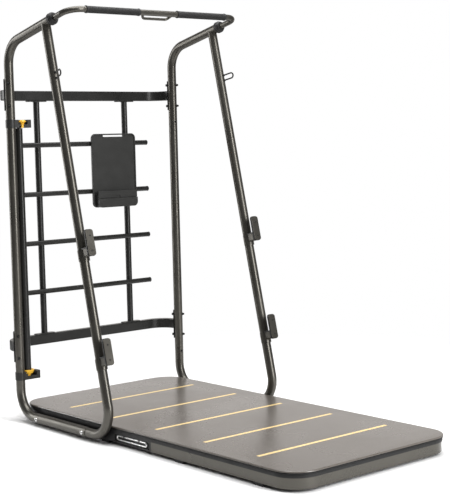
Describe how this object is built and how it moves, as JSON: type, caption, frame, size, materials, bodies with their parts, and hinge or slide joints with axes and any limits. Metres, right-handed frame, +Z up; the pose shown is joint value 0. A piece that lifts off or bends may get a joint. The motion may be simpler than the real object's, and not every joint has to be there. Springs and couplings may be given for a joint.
{
  "type": "functional training station",
  "caption": "Padded exercise platform with two bent-tube side frames, an overhead pull-up bar, a wall of rungs, bar hooks, strap anchors and a stored cross bar.",
  "frame": {"origin": "on the floor at the middle of the footprint", "axes": "+Z up; +Y towards the ladder at the back; +X to the right of a person facing the ladder"},
  "size_m": [1.139, 2.2227, 2.129],
  "materials": {
    "mat": "matt, fine leather grain",
    "board": "black laminated edge",
    "line_yellow": "matt printed line",
    "frame_olive": "satin metallic powder coat",
    "base_black": "satin powder coat",
    "rack_black": "satin powder coat",
    "moulded_black": "fine texture",
    "cap_rubber": "satin",
    "foot_rubber": "matt",
    "grip_rubber": "matt, knurled pattern",
    "liner_rubber": "satin",
    "bolt_steel": "bright zinc",
    "bolt_black": "black oxide",
    "ring_steel": "satin",
    "latch_yellow": "satin"
  },
  "bodies": {
    "station": {"deck_mat": "mat", "deck_board": "board", "mat_lines": "line_yellow", "rail_front": "frame_olive", "rail_left": "frame_olive", "rail_right": "frame_olive", "frame_rear": "base_black", "cross_members": "base_black", "feet": "foot_rubber", "anchor_housing_left": "moulded_black", "anchor_housing_right": "moulded_black", "rear_tube_left": "frame_olive", "rear_tube_right": "frame_olive", "front_tube_left": "frame_olive", "front_tube_right": "frame_olive", "lower_rail_left": "frame_olive", "lower_rail_right": "frame_olive", "rail_bolts": "bolt_steel", "coupling_left": "cap_rubber", "coupling_right": "cap_rubber", "pullup_bar": "frame_olive", "grip_left": "grip_rubber", "grip_right": "grip_rubber", "bow_handle": "frame_olive", "top_beam": "rack_black", "bottom_beam": "rack_black", "beam_plates": "rack_black", "beam_bolts": "bolt_black", "ladder_left": "rack_black", "ladder_right": "rack_black", "rung_1": "rack_black", "rung_2": "rack_black", "rung_3": "rack_black", "rung_4": "rack_black", "rung_caps": "cap_rubber", "hook_upper_left": "frame_olive", "hook_upper_right": "frame_olive", "hook_lower_left": "frame_olive", "hook_lower_right": "frame_olive", "liner_upper_left": "liner_rubber", "liner_upper_right": "liner_rubber", "liner_lower_left": "liner_rubber", "liner_lower_right": "liner_rubber", "hook_screws": "bolt_black", "eye_left": "rack_black", "eye_right": "rack_black", "holder_upper": "moulded_black", "holder_lower": "moulded_black", "bar_cup": "latch_yellow"},
    "latch": {"bar_latch": "latch_yellow"},
    "stored_bar": {"cross_bar": "rack_black", "bar_caps": "cap_rubber"},
    "ring_left": {"anchor_ring_left": "ring_steel"},
    "ring_right": {"anchor_ring_right": "ring_steel"},
    "tray": {"tray_panel": "moulded_black", "tray_ledge": "moulded_black", "tray_lip": "moulded_black", "tray_clips": "moulded_black"}
  },
  "joints": [
    {"name": "latch_lift", "type": "slide", "parent": "station", "child": "latch", "axis": [0, 0, 1], "range_m": [0, 0.018]},
    {"name": "bar_spin", "type": "hinge", "parent": "station", "child": "stored_bar", "pos_m": [-0.491, 0.9547, 0.9], "axis": [0, 0, 1], "continuous": true},
    {"name": "ring_left_swing", "type": "hinge", "parent": "station", "child": "ring_left", "pos_m": [-0.4975, 0.0267, 0.047], "axis": [0, 1, 0], "range_deg": [0, 95]},
    {"name": "ring_right_swing", "type": "hinge", "parent": "station", "child": "ring_right", "pos_m": [0.4975, 0.0267, 0.047], "axis": [0, -1, 0], "range_deg": [0, 95]},
    {"name": "tray_slide", "type": "slide", "parent": "station", "child": "tray", "axis": [1, 0, 0], "range_m": [-0.33, 0.012]}
  ]
}
